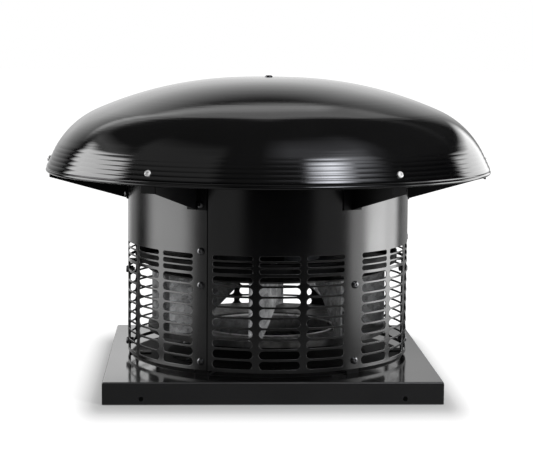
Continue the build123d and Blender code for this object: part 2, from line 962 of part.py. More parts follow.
box_back = fin_outer + 2 * touch
box_depth = 44.0
box_half = 36.0
box_wall = 2.5
box_z = motor_z + 44.0
box_top = box_z + 66.0


def make_terminal_box():
    front = box_back + box_depth
    box = slab(box_back, front, -box_half, box_half, box_z, box_top)
    box = fillet(box.edges().filter_by(Axis.X), 4.0)
    box -= slab(
        box_back + box_wall,
        front + 1,
        -box_half + box_wall,
        box_half - box_wall,
        box_z + box_wall,
        box_top - box_wall,
    )
    return radial(guard_turn + 90) * box


def make_terminal_lid():
    front = box_back + box_depth
    lid = slab(front, front + 4, -box_half - 1, box_half + 1, box_z - 1, box_top + 1)
    lid = fillet(lid.edges().filter_by(Axis.X), 5.0)
    lid = fillet(lid.faces().sort_by(Axis.X)[-1].edges(), 1.2)
    return radial(guard_turn + 90) * lid


def make_cable_gland():
    x = box_back + box_depth / 2
    body = column_drill(8.0, box_z - 6, box_z, x)
    body += Pos(x, 0, box_z - 11) * extrude(RegularPolygon(9.5, 6, major_radius=False), amount=6)
    body += column_drill(8.6, box_z - 22, box_z - 10, x)
    body = fillet(body.edges().group_by(Axis.Z)[0], 2.0)
    return radial(guard_turn + 90) * body


def make_hub():
    bore = shaft_radius
    register = hub_boss - 2.0
    hub = turned(
        (bore, hub_z),
        (hub_boss, hub_z),
        (hub_boss, backplate_z - 5),
        (hub_radius, backplate_z - 5),
        (hub_radius, backplate_z),
        (register, backplate_z),
        (register, backplate_top + 1.5),
        (bore, backplate_top + 1.5),
    )
    for n in range(6):
        hub -= radial(60 * n) * column_drill(rivet_hole, backplate_z - 6, backplate_top, hub_rivet_radius)
    return hub


hub_rivet_radius = (hub_boss + hub_radius) / 2


def make_backplate():
    plate = turned(
        (hub_boss - 2.0 + touch, backplate_z),
        (impeller_radius, backplate_z),
        (impeller_radius, backplate_top),
        (hub_boss - 2.0 + touch, backplate_top),
    )
    for n in range(6):
        plate -= radial(60 * n) * column_drill(
            rivet_hole, backplate_z - 1, backplate_top + 1, hub_rivet_radius
        )
    return plate


def make_impeller_rivets():
    return [
        radial(60 * n) * Pos(hub_rivet_radius, 0, backplate_top) * rivet(backplate_sheet + 5)
        for n in range(6)
    ]


def make_impeller_bolt():
    low = hub_z
    bolt = column_drill(14.0, low - 3, low)
    bolt += Pos(0, 0, low - 8) * extrude(RegularPolygon(6.5, 6, major_radius=False), amount=6)
    bolt += column_drill(m6 / 2, low - 4, low + 14)
    return bolt


def shroud_top(r):
    """Height of the shroud's upper face outside its curve."""
    inner = eye_radius + shroud_curve
    return shroud_z + shroud_rise * (r - inner) / (impeller_radius - inner)


def make_shroud():
    s = shroud_sheet
    bend = (eye_radius + shroud_curve, eye_z + 2)
    half = math.sqrt(0.5)
    over = shroud_curve - s
    mid_top = (bend[0] - half * shroud_curve, bend[1] + half * shroud_curve)
    mid_low = (bend[0] - half * over, bend[1] + half * over)
    low_edge = shroud_outer_z - shroud_lip
    return spun(
        Line((eye_radius, eye_z), (eye_radius, eye_z + 2)),
        ThreePointArc((eye_radius, eye_z + 2), mid_top, (bend[0], shroud_z)),
        Line((bend[0], shroud_z), (impeller_radius, shroud_outer_z)),
        Line((impeller_radius, shroud_outer_z), (impeller_radius, low_edge)),
        Line((impeller_radius, low_edge), (impeller_radius - s, low_edge)),
        Line((impeller_radius - s, low_edge), (impeller_radius - s, shroud_outer_z - s)),
        Line((impeller_radius - s, shroud_outer_z - s), (bend[0], shroud_z - s)),
        ThreePointArc((bend[0], shroud_z - s), mid_low, (eye_radius + s, eye_z + 2)),
        Line((eye_radius + s, eye_z + 2), (eye_radius + s, eye_z)),
        Line((eye_radius + s, eye_z), (eye_radius, eye_z)),
    )


def make_blade(n):
    """Backward-curved blade, its inner edge upright under the backplate, then slanting outwards."""
    sweep = math.radians(blade_sweep)
    root = blade_root - 4
    tip = impeller_radius + 4
    p0 = (root * math.cos(sweep), root * math.sin(sweep))
    p2 = (tip, 0.0)
    chord = (p2[0] - p0[0], p2[1] - p0[1])
    span = math.hypot(*chord)
    normal = (-chord[1] / span, chord[0] / span)
    p1 = ((p0[0] + p2[0]) / 2 + normal[0] * blade_bow, (p0[1] + p2[1]) / 2 + normal[1] * blade_bow)
    low = eye_z
    strip = trace(ThreePointArc(p0, p1, p2), blade_sheet)
    strip = extrude(strip, amount=backplate_z - low)
    edge = impeller_radius - 2.0
    room = turned(
        (blade_root, backplate_z - touch),
        (edge, backplate_z - touch),
        (edge, shroud_top(edge) + touch),
        (blade_toe, shroud_top(blade_toe) + touch),
        (blade_root, backplate_z - blade_knee),
    )
    return radial(blade_start + 360.0 / blade_count * n) * ((Pos(0, 0, low) * strip) & room)


def save(name, shape):
    """One file for each piece; a list becomes a group of separate solids."""
    group = shape if isinstance(shape, list) else [shape]
    solids = [solid for member in group for solid in member.solids()]
    export_step(solids[0] if len(solids) == 1 else Compound(children=solids), "parts/" + name + ".step")


os.makedirs("parts", exist_ok=True)

guard_screw_set, guard_nut_set = make_guard_screws()
bracket_screw_set, bracket_nut_set = make_bracket_screws()
plate_screw_set, plate_nut_set = make_plate_screws()
rim_screw_set, rim_nut_set = make_rim_screws()
low_inner, low_outer = make_bearing(low_bearing_z)
high_inner, high_outer = make_bearing(high_bearing_z)

save("base_plate", make_base_plate())
save("inlet_cone", make_inlet_cone())
save("deck_rivets", make_deck_rivets())
for n in range(panels):
    save("guard_panel_%d" % (n + 1), make_guard_panel(n))
for k in range(bays):
    save("upright_%d" % (k + 1), make_upright(k))
    save("cowl_bracket_%d" % (k + 1), make_bracket(k))
save("guard_screws", guard_screw_set)
save("bracket_screws", bracket_screw_set)
save("lock_nuts", guard_nut_set + bracket_nut_set + plate_nut_set + [make_bridge_nut()])
save("motor_plate", make_motor_plate())
save("motor_plate_screws", plate_screw_set)
save("cowl", make_cowl())
save("cowl_rim_screws", rim_screw_set)
save("cowl_rim_nuts", rim_nut_set)
save("cowl_top_screw", make_top_screw())
save("cowl_seal", make_cowl_seal())
save("cowl_bridge", make_bridge())
save("motor_frame", make_motor_frame())
save("motor_flange", make_motor_flange())
save("motor_end_shield", make_end_shield())
save("motor_mount_bolts", make_mount_bolts())
save("end_shield_screws", make_end_screws())
save("stator_core", make_stator_core())
save("stator_winding", make_stator_winding())
save("bearing_lower_outer", low_outer)
save("bearing_upper_outer", high_outer)
save("fan_cover", make_fan_cover())
save("terminal_box", make_terminal_box())
save("terminal_lid", make_terminal_lid())
save("cable_gland", make_cable_gland())
save("motor_shaft", make_shaft())
save("rotor_core", make_rotor_core())
save("cooling_fan", make_cooling_fan())
save("bearing_lower_inner", low_inner)
save("bearing_upper_inner", high_inner)
save("impeller_hub", make_hub())
save("impeller_backplate", make_backplate())
save("impeller_shroud", make_shroud())
save("impeller_rivets", make_impeller_rivets())
save("impeller_bolt", make_impeller_bolt())
for n in range(blade_count):
    save("impeller_blade_%d" % (n + 1), make_blade(n))
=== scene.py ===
import json
import math

import bpy
import numpy as np
from mathutils import Matrix, Vector


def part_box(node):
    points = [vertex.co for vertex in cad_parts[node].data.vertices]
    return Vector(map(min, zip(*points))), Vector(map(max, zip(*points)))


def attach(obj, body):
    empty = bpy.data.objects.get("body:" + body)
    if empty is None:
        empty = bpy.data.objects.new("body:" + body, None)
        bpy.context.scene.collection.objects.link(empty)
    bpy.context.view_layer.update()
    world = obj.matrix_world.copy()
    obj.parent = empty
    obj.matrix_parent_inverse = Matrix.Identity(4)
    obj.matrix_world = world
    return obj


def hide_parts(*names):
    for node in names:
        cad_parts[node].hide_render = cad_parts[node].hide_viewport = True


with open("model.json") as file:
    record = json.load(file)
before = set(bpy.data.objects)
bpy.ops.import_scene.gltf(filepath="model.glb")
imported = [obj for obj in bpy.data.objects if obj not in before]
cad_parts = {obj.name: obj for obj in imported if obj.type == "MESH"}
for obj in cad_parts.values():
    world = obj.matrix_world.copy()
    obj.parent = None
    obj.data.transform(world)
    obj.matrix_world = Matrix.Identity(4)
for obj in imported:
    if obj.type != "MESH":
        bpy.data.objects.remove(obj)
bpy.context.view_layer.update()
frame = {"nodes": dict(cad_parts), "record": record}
nodes = frame["nodes"]
scene = bpy.context.scene

MM = 0.001

# Sizes shared with the solids, in millimetres, and in degrees around the axis
GUARD_R = 192.5
GUARD_SHEET = 1.2
GUARD_Z = 35.0
GUARD_TOP = 298.0
PANELS = 3
TURN = 2.5
SPREAD = 1.2
BAY = 60.0
LAP_OVER = 2.5
LAP_GAP = 0.1
SEAM = 0.45
JOGGLE = 0.7

# Slots: step in degrees and length for each bay of a panel, then middle height and width of each row
BAYS = ((18.4, 53.5), (17.6, 50.8))
FIRST_SLOT = 10.1
TALL_ROWS, TALL_PITCH, TALL_SLOT = 9, 13.6, 10.8
LOW_ROWS, LOW_PITCH, LOW_SLOT, LOW_START = 3, 8.4, 6.0, 12.6
SLOTS = [(GUARD_Z + FIRST_SLOT + TALL_PITCH * n, TALL_SLOT) for n in range(TALL_ROWS)]
LAST_TALL = SLOTS[-1][0]
SLOTS += [(LAST_TALL + LOW_START + LOW_PITCH * n, LOW_SLOT) for n in range(LOW_ROWS)]

# Cowl heights and the azimuths of the six screw columns
RIM_Z = 283.6
TOP_Z = 409.4
COLUMNS = [TURN + BAY * (k - 0.5) + SPREAD * (1 if k % 2 else -1) for k in range(6)]


# Node-graph helpers


class Graph:
    """Short way to write a material's node graph."""

    def __init__(self, name):
        self.material = bpy.data.materials.new(name)
        self.material.use_nodes = True
        self.tree = self.material.node_tree
        self.shader = self.tree.nodes["Principled BSDF"]
        self.coords = self.add("ShaderNodeTexCoord").outputs["Object"]

    def add(self, kind, **settings):
        node = self.tree.nodes.new(kind)
        for key, value in settings.items():
            setattr(node, key, value)
        return node

    def feed(self, socket, value):
        if isinstance(value, bpy.types.NodeSocket):
            self.tree.links.new(value, socket)
        else:
            socket.default_value = value

    def noise(self, scale, detail=3.0, rough=0.5, coords=None):
        node = self.add("ShaderNodeTexNoise")
        self.feed(node.inputs["Vector"], coords or self.coords)
        node.inputs["Scale"].default_value = scale
        node.inputs["Detail"].default_value = detail
        node.inputs["Roughness"].default_value = rough
        return node.outputs["Fac"]

    def cells(self, scale, output="Distance", coords=None):
        node = self.add("ShaderNodeTexVoronoi", feature="F1")
        self.feed(node.inputs["Vector"], coords or self.coords)
        node.inputs["Scale"].default_value = scale
        return node.outputs[output]

    def span(self, value, low, high, to_low=0.0, to_high=1.0):
        node = self.add("ShaderNodeMapRange", clamp=True)
        self.feed(node.inputs["Value"], value)
        node.inputs["From Min"].default_value = low
        node.inputs["From Max"].default_value = high
        node.inputs["To Min"].default_value = to_low
        node.inputs["To Max"].default_value = to_high
        return node.outputs["Result"]

    def math(self, operation, a, b=0.0):
        node = self.add("ShaderNodeMath", operation=operation)
        self.feed(node.inputs[0], a)
        self.feed(node.inputs[1], b)
        return node.outputs[0]

    def mix(self, fac, a, b):
        node = self.add("ShaderNodeMix", data_type="RGBA")
        self.feed(node.inputs["Factor"], fac)
        self.feed(node.inputs[6], a)
        self.feed(node.inputs[7], b)
        return node.outputs[2]

    def split(self):
        node = self.add("ShaderNodeSeparateXYZ")
        self.feed(node.inputs[0], self.coords)
        return node.outputs

    def reach(self):
        """Distance from the fan's axis."""
        x, y = self.split()[:2]
        return self.math("SQRT", self.math("ADD", self.math("MULTIPLY", x, x), self.math("MULTIPLY", y, y)))

    def facing(self):
        """How far the surface looks away from the fan's axis, 1 straight out and -1 straight in."""
        x, y = self.split()[:2]
        flat = self.add("ShaderNodeCombineXYZ")
        self.feed(flat.inputs[0], x)
        self.feed(flat.inputs[1], y)
        out = self.add("ShaderNodeVectorMath", operation="NORMALIZE")
        self.feed(out.inputs[0], flat.outputs[0])
        dot = self.add("ShaderNodeVectorMath", operation="DOT_PRODUCT")
        self.feed(dot.inputs[0], out.outputs[0])
        self.feed(dot.inputs[1], self.add("ShaderNodeNewGeometry").outputs["Normal"])
        return dot.outputs["Value"]

    def bump(self, height, strength, distance, normal=None):
        node = self.add("ShaderNodeBump")
        self.feed(node.inputs["Height"], height)
        node.inputs["Strength"].default_value = strength
        node.inputs["Distance"].default_value = distance
        if normal is not None:
            self.feed(node.inputs["Normal"], normal)
        return node.outputs[0]

    def set(self, **values):
        for key, value in values.items():
            self.feed(self.shader.inputs[key.replace("_", " ")], value)
        return self.material


def colour(r, g, b):
    return (r, g, b, 1.0)


# Materials, with sizes in metres

DUST_TONE = (0.006, 0.006, 0.0063)
SPECK_TONE = (0.09, 0.09, 0.09)
# Painted highlight on the folded edges of the base
FOLD_HIGHLIGHT = (0.06, 0.06, 0.062)
STAIN_TONE = (0.2, 0.195, 0.185)
# Painted shade and painted highlight of the inlet cone
CONE_SHADE, CONE_HIGHLIGHT = (0.003, 0.003, 0.003), (0.8, 0.8, 0.8)
FOLD_START, FOLD_END = 0.0022, 0.001
LIP_START, LIP_END = 0.003, 0.001
INSIDE_SOFT = 0.004
MATT_ROUGH, MATT_LEVEL, PLAIN_LEVEL = 0.55, 0.12, 0.5
CONE_MATT = 0.95
FLAKE_SHIFT = 0.006


def paint(name, base, rough, peel, dust, ior, edge=0.0, spun=0.0, inside=0.0, fold=None):
    """Stove paint: faint orange peel, uneven gloss and a little settled dust.

    edge is the grey of a painted highlight on cut edges and slot lips, and faces that look inwards are then
    matt.
    spun is the strength of turning lines, inside a radius within which the paint is matt, and
    fold the half width and height of folded edges that get a painted highlight.
    """
    g = Graph(name)
    patches = g.noise(9.0, 4.0, 0.6)
    fine = g.noise(420.0, 2.0)
    specks = g.span(g.cells(900.0), 0.0, 0.12, 1.0, 0.0)
    haze = g.math("MULTIPLY", g.span(patches, 0.42, 0.72), dust)
    tone = g.mix(haze, colour(*base), colour(*DUST_TONE))
    tone = g.mix(g.math("MULTIPLY", specks, 0.25 * dust), tone, colour(*SPECK_TONE))
    matt = None
    if edge:
        # Painted highlight: cut edges and slot lips are lightened towards the edge grey, in patches.
        look = g.facing()
        turned = g.span(g.math("ABSOLUTE", look), 0.55, 0.97, 1.0, 0.0)
        lip_highlight = g.math("MULTIPLY", turned, g.span(patches, 0.3, 0.7, 0.5, 1.0))
        tone = g.mix(lip_highlight, tone, colour(edge, edge, edge))
        matt = g.span(look, -0.6, -0.3, 1.0, 0.0)
    # Painted highlight along the folded top edges of the base, in patches.
    if fold:
        half, top = fold
        x, y, z = g.split()
        side = g.math("MAXIMUM", g.math("ABSOLUTE", x), g.math("ABSOLUTE", y))
        near_side = g.span(side, half - FOLD_START, half - FOLD_END)
        near_top = g.span(z, top - FOLD_START, top - FOLD_END)
        rim = g.math("MULTIPLY", near_side, near_top)
        fold_highlight = g.math("MULTIPLY", rim, g.span(patches, 0.3, 0.7, 0.6, 1.0))
        tone = g.mix(fold_highlight, tone, colour(*FOLD_HIGHLIGHT))
    gloss = g.span(patches, 0.3, 0.75, rough * 0.8, rough * 1.35)
    gloss = g.math("ADD", gloss, g.span(fine, 0.3, 0.7, -0.01, 0.015))
    normal = g.bump(fine, peel, 0.0003)
    if inside:
        matt = g.span(g.reach(), inside - INSIDE_SOFT, inside, 1.0, 0.0)
    if matt is not None:
        gloss = g.math("ADD", gloss, g.math("MULTIPLY", matt, MATT_ROUGH))
        g.feed(g.shader.inputs["Specular IOR Level"], g.span(matt, 0.0, 1.0, PLAIN_LEVEL, MATT_LEVEL))
    if spun:
        ring = g.add("ShaderNodeCombineXYZ")
        g.feed(ring.inputs[0], g.reach())
        g.feed(ring.inputs[1], g.split()[2])
        lines = g.noise(330.0, 2.0, 0.6, coords=ring.outputs[0])
        normal = g.bump(lines, spun, 0.0006, normal)
    return g.set(Base_Color=tone, Roughness=gloss, Normal=normal, IOR=ior)


def galvanised(name, base, dark, rough, metal, lip=0.0):
    """Zinc-coated sheet: flakes of different brightness with soft stains over them.

    lip is the height of a painted highlight along the top edge, under which faces that look outwards get
    painted shade and are matt.
    """
    g = Graph(name)
    warp = g.noise(60.0, 2.0)
    shifted = g.add("ShaderNodeVectorMath", operation="MULTIPLY_ADD")
    g.feed(shifted.inputs[0], g.coords)
    shifted.inputs[1].default_value = (1.0, 1.0, 1.0)
    offset = g.add("ShaderNodeCombineXYZ")
    for axis in range(3):
        g.feed(offset.inputs[axis], g.math("MULTIPLY", warp, FLAKE_SHIFT))
    g.feed(shifted.inputs[2], offset.outputs[0])
    flake = g.cells(150.0, output="Color", coords=shifted.outputs[0])
    small = g.cells(420.0, output="Color", coords=shifted.outputs[0])
    parts = g.add("ShaderNodeSeparateColor")
    g.feed(parts.inputs[0], flake)
    fine = g.add("ShaderNodeSeparateColor")
    g.feed(fine.inputs[0], small)
    level = g.math("ADD", g.math("MULTIPLY", parts.outputs[0], 0.7), g.math("MULTIPLY", fine.outputs[1], 0.3))
    stain = g.noise(14.0, 5.0, 0.65)
    tone = g.mix(level, colour(dark, dark, dark * 1.03), colour(base, base * 1.01, base * 1.03))
    tone = g.mix(g.span(stain, 0.5, 0.8, 0.0, 0.5), tone, colour(*STAIN_TONE))
    gloss = g.span(parts.outputs[2], 0.0, 1.0, rough - 0.1, rough + 0.12)
    # Painted shade on outward faces under the top edge, and a painted highlight along that edge.
    if lip:
        rim = g.span(g.split()[2], lip - LIP_START, lip - LIP_END)
        inner = g.math("MAXIMUM", g.span(g.facing(), -0.5, -0.2, 1.0, 0.0), rim)
        tone = g.mix(inner, colour(*CONE_SHADE), tone)
        tone = g.mix(rim, tone, colour(*CONE_HIGHLIGHT))
        gloss = g.math("MAXIMUM", gloss, g.span(inner, 0.0, 1.0, CONE_MATT, 0.0))
    normal = g.bump(level, 0.12, 0.0004)
    return g.set(Base_Color=tone, Metallic=metal, Roughness=gloss, Normal=normal)


def plated(name, base, rough, metal, wear):
    """Plated or bare fastener metal with fine turning marks and spots of wear."""
    g = Graph(name)
    marks = g.noise(1800.0, 3.0)
    spots = g.noise(140.0, 3.0, 0.6)
    tone = g.mix(
        g.span(spots, 0.4, 0.75, 0.0, wear),
        colour(*base),
        colour(*[min(1.0, c * 0.55 + 0.015) for c in base]),
    )
    gloss = g.math("ADD", g.span(spots, 0.3, 0.7, rough, rough + 0.12), g.span(marks, 0.3, 0.7, -0.03, 0.03))
    normal = g.bump(marks, 0.08, 0.0001)
    return g.set(Base_Color=tone, Metallic=metal, Roughness=gloss, Normal=normal)


def moulded(name, base, rough):
    """Moulded plastic or rubber with a fine eroded grain."""
    g = Graph(name)
    grain = g.noise(1400.0, 4.0, 0.6)
    patch = g.noise(30.0, 4.0)
    tone = g.mix(g.span(patch, 0.4, 0.75, 0.0, 0.5), colour(*base), colour(*[c * 1.8 + 0.004 for c in base]))
    normal = g.bump(grain, 0.25, 0.0002)
    return g.set(Base_Color=tone, Roughness=g.span(grain, 0.3, 0.7, rough - 0.06, rough + 0.1), Normal=normal)


def cast(name, base, rough):
    """Painted casting with a sandy skin."""
    g = Graph(name)
    sand = g.noise(700.0, 5.0, 0.65)
    patch = g.noise(25.0, 4.0)
    tone = g.mix(g.span(patch, 0.4, 0.7, 0.0, 0.6), colour(*base), colour(*[c * 1.5 for c in base]))
    normal = g.bump(sand, 0.35, 0.0004)
    return g.set(Base_Color=tone, Roughness=g.span(sand, 0.3, 0.7, rough, rough + 0.15), Normal=normal)


def layered(name, base, rough, pitch, metal):
    """Stacked laminations or wound wire: fine level bands along the axis."""
    g = Graph(name)
    z = g.split()[2]
    bands = g.math("SINE", g.math("MULTIPLY", z, 2 * math.pi / pitch))
    patch = g.noise(80.0, 3.0)
    tone = g.mix(g.span(bands, -0.4, 0.9, 0.0, 1.0), colour(*[c * 0.5 for c in base]), colour(*base))
    tone = g.mix(g.span(patch, 0.4, 0.7, 0.0, 0.35), tone, colour(*[c * 0.4 for c in base]))
    normal = g.bump(bands, 0.3, 0.0004)
    return g.set(Base_Color=tone, Metallic=metal, Roughness=rough, Normal=normal)


BLACK = (0.0018, 0.0018, 0.002)
BRACKET_BLACK = (0.002, 0.002, 0.0022)
INNER_BLACK = (0.0022, 0.0022, 0.0024)
BASE_BLACK = (0.0105, 0.0105, 0.011)
DECK_MATT_R = 0.189
base_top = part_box("base_plate")[1]
MATERIALS = {
    "cowl_paint": paint("cowl_paint", BLACK, 0.085, peel=0.04, dust=0.35, ior=2.2, spun=0.12),
    "guard_paint": paint("guard_paint", BLACK, 0.2, peel=0.08, dust=0.3, ior=2.2, edge=0.12),
    "base_paint": paint(
        "base_paint", BASE_BLACK, 0.1, peel=0.05, dust=0.4, ior=1.65, inside=DECK_MATT_R,
        fold=(base_top.x, base_top.z),
    ),
    "bracket_paint": paint("bracket_paint", BRACKET_BLACK, 0.3, peel=0.1, dust=0.4, ior=1.38),
    "upright_paint": paint("upright_paint", INNER_BLACK, 0.5, peel=0.12, dust=0.4, ior=1.3),
    "plate_paint": paint("plate_paint", INNER_BLACK, 0.5, peel=0.12, dust=0.5, ior=1.3),
    "galvanised": galvanised("galvanised", base=0.62, dark=0.16, rough=0.38, metal=0.35),
    "black_screws": plated("black_screws", (0.3, 0.3, 0.31), 0.1, metal=1.0, wear=0.2),
    "bright_screws": plated("bright_screws", (0.92, 0.92, 0.92), 0.2, metal=0.35, wear=0.25),
    "zinc_screws": plated("zinc_screws", (0.5, 0.5, 0.51), 0.3, metal=1.0, wear=0.4),
    "rivets": plated("rivets", (0.55, 0.55, 0.56), 0.36, metal=1.0, wear=0.4),
    "rubber": moulded("rubber", (0.014, 0.014, 0.014), 0.65),
    "motor_paint": cast("motor_paint", (0.04, 0.043, 0.047), 0.38),
    "motor_cover": cast("motor_cover", (0.036, 0.039, 0.043), 0.42),
    "motor_plastic": moulded("motor_plastic", (0.016, 0.016, 0.017), 0.5),
    "lamination": layered("lamination", (0.24, 0.24, 0.25), 0.4, pitch=0.001, metal=0.8),
    "winding": layered("winding", (0.45, 0.16, 0.06), 0.35, pitch=0.0013, metal=0.7),
    "ground_steel": plated("ground_steel", (0.55, 0.55, 0.56), 0.2, metal=1.0, wear=0.25),
    "hub": plated("hub", (0.5, 0.5, 0.51), 0.33, metal=1.0, wear=0.3),
}

# Galvanised nodes drawn darker than the blades, as painted shade inside the fan: the shroud and the
# backplate much darker, and the cone darker too
PAINTED_SHADE_ZINC = galvanised("painted_shade_zinc", base=0.04, dark=0.016, rough=0.46, metal=0.3)
CONE_ZINC = galvanised(
    "cone_zinc", base=0.2, dark=0.1, rough=0.36, metal=0.4, lip=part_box("inlet_cone")[1].z
)
OWN_ZINC = {"impeller_shroud": PAINTED_SHADE_ZINC, "impeller_backplate": PAINTED_SHADE_ZINC, "inlet_cone": CONE_ZINC}
slot_of = {part["node"]: part["material_slot"] for part in frame["record"]["subparts"]}
for name, obj in nodes.items():
    obj.data.materials.clear()
    obj.data.materials.append(OWN_ZINC.get(name) or MATERIALS[slot_of[name]])


EASE_ANGLE = math.radians(50)


def ease(name, width, segments):
    """Rounded edges of a folded or cut sheet."""
    bevel = nodes[name].modifiers.new("ease", "BEVEL")
    bevel.width = width * MM
    bevel.segments = segments
    bevel.limit_method = "ANGLE"
    bevel.angle_limit = EASE_ANGLE
    bevel.use_clamp_overlap = True
    bevel.harden_normals = True


ease("base_plate", width=0.74, segments=4)
for n in range(len(COLUMNS)):
    ease("cowl_bracket_%d" % (n + 1), width=0.9, segments=3)


# Mesh helpers


def add_mesh(name, points, faces, slot, replaced, normals=None, sharp=None):
    """New piece of the housing from points in millimetres, standing for some CAD nodes."""
    mesh = bpy.data.meshes.new(name)
    mesh.from_pydata([tuple(p) for p in np.asarray(points) * MM], [], faces)
    mesh.polygons.foreach_set("use_smooth", [True] * len(mesh.polygons))
    if sharp is not None:
        mesh.set_sharp_from_angle(angle=math.radians(sharp))
    if normals is not None:
        mesh.normals_split_custom_set_from_vertices([tuple(n) for n in normals])
    mesh.materials.append(MATERIALS[slot])
    obj = bpy.data.objects.new(name, mesh)
    scene.collection.objects.link(obj)
    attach(obj, "housing")
    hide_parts(*replaced)


def ring_faces(first, second, count, closed=True):
    """Quads between two rows of points."""
    steps = count if closed else count - 1
    return [
        (first + i, first + (i + 1) % count, second + (i + 1) % count, second + i) for i in range(steps)
    ]


# Cowl: spun outline with ridges above a rolled bead

COWL_SHEET = 1.5
TOP_HOLE_R, DIMPLE = 3.1, 1.2
CROWN_FLAT, CROWN_R, SHOULDER_R = 25.0, 518.0, 119.0
SKIRT_TILT = 64.5
A1, A2 = math.radians(23.8), math.radians(SKIRT_TILT)
RIDGES = 6
RIDGE_START = math.radians(57.0)
RIDGE_PROUD, RIDGE_GROWTH = 0.12, 0.05
RIDGE_POINTS = 7
COWL_SHARP = 38
COWL_SEGMENTS = 288
CROWN_C = (CROWN_FLAT, TOP_Z - CROWN_R)
SHOULDER_C = (
    CROWN_C[0] + (CROWN_R - SHOULDER_R) * math.sin(A1),
    CROWN_C[1] + (CROWN_R - SHOULDER_R) * math.cos(A1),
)
SKIRT = (SHOULDER_C[0] + SHOULDER_R * math.sin(A2), SHOULDER_C[1] + SHOULDER_R * math.cos(A2))
SKIRT_END = RIM_Z + 4.0
BEAD, BEAD_PROUD = 2.4, 1.0


def skirt_radius(z, inset=0.0):
    """Radius of the straight skirt at a height, or of a surface under it."""
    return SKIRT[0] + (SKIRT[1] - z) / math.tan(A2) - inset / math.sin(A2)


def arc(centre, radius, start, end, count):
    """Points on an arc, with angles from the upright."""
    return [
        (centre[0] + radius * math.sin(a), centre[1] + radius * math.cos(a))
        for a in np.linspace(start, end, count)
    ]


def ridge_point(length, proud):
    """Point at a length along the ridged zone, standing proud of the smooth outline."""
    bend = SHOULDER_R * (A2 - RIDGE_START)
    if length < bend:
        return arc(SHOULDER_C, SHOULDER_R + proud, RIDGE_START + length / SHOULDER_R, 0, 1)[0]
    run = length - bend
    return (
        SKIRT[0] + run * math.cos(A2) + proud * math.sin(A2),
        SKIRT[1] - run * math.sin(A2) + proud * math.cos(A2),
    )


def cowl_outline():
    """Closed outline of the spun sheet, from the top hole over the outside and back inside."""
    span = CROWN_FLAT - TOP_HOLE_R
    dip = (span**2 + DIMPLE**2) / (2 * DIMPLE)

    def dimple(r, inset):
        radius = dip - inset
        return TOP_Z - inset - radius + math.sqrt(radius**2 - (CROWN_FLAT - r) ** 2)

    outer = [(r, dimple(r, 0.0)) for r in np.linspace(TOP_HOLE_R, CROWN_FLAT, 8)[:-1]]
    outer += arc(CROWN_C, CROWN_R, 0, A1, 26)[:-1]
    outer += arc(SHOULDER_C, SHOULDER_R, A1, RIDGE_START, 14)[:-1]
    total = SHOULDER_R * (A2 - RIDGE_START) + (SKIRT[1] - SKIRT_END) / math.sin(A2)
    step = total / RIDGES
    for n in range(RIDGES):
        proud = RIDGE_PROUD + RIDGE_GROWTH * n
        for t in np.linspace(0, 1, RIDGE_POINTS + 1)[:-1]:
            outer.append(ridge_point((n + t) * step, proud * math.sin(math.pi * t) ** 0.8))
    outer.append(ridge_point(total, 0.0))
    centre = (skirt_radius(SKIRT_END) + BEAD_PROUD - BEAD, RIM_Z)
    neck = (centre[0] + 0.25 * BEAD, RIM_Z + 1.02 * BEAD)
    outer += [(outer[-1][0] - 0.35, outer[-1][1] - 0.4), (neck[0] + 0.3, neck[1] + 0.25), neck]
    outer += arc(centre, BEAD, math.radians(14), math.radians(300), 26)
    inner = [(skirt_radius(SKIRT_END, COWL_SHEET), SKIRT_END)]
    inner += arc(SHOULDER_C, SHOULDER_R - COWL_SHEET, A2, A1, 20)
    inner += arc(CROWN_C, CROWN_R - COWL_SHEET, A1, 0, 20)[1:]
    inner += [(r, dimple(r, COWL_SHEET)) for r in np.linspace(CROWN_FLAT, TOP_HOLE_R, 6)[1:]]
    return outer + inner


def around_axis(outline, count):
    """Even angles of a full turn, and the outline's points turned to each of them."""
    angles = np.linspace(0, 2 * math.pi, count, endpoint=False)
    return angles, [(r * math.cos(a), r * math.sin(a), z) for r, z in outline for a in angles]


def spin(outline, count):
    """Closed skin from a closed outline turned around the axis."""
    points = around_axis(outline, count)[1]
    faces = []
    rows = len(outline)
    for row in range(rows):
        faces += ring_faces(((row + 1) % rows) * count, row * count, count)
    return points, faces


points, faces = spin(cowl_outline(), COWL_SEGMENTS)
add_mesh("cowl_skin", points, faces, "cowl_paint", ["cowl"], sharp=COWL_SHARP)


# Guard: three rolled panels, every slot with a rounded paint edge

LIP = 0.42
SLOT_MARGIN = 2.0
PLATE_STEP = 1.0
TINY, FAR = 1e-9, 1e9


def bend_point(angle, z, depth):
    """Point on the guard's sheet from an azimuth in degrees, a height and a depth under the face."""
    a = math.radians(angle - 90.0)
    r = GUARD_R - depth
    return (r * math.cos(a), r * math.sin(a), z)


def bend_normal(angle, along, up, out):
    """Direction with parts along the azimuth, upwards and outwards."""
    a = math.radians(angle - 90.0)
    return (-along * math.sin(a) + out * math.cos(a), along * math.cos(a) + out * math.sin(a), up)


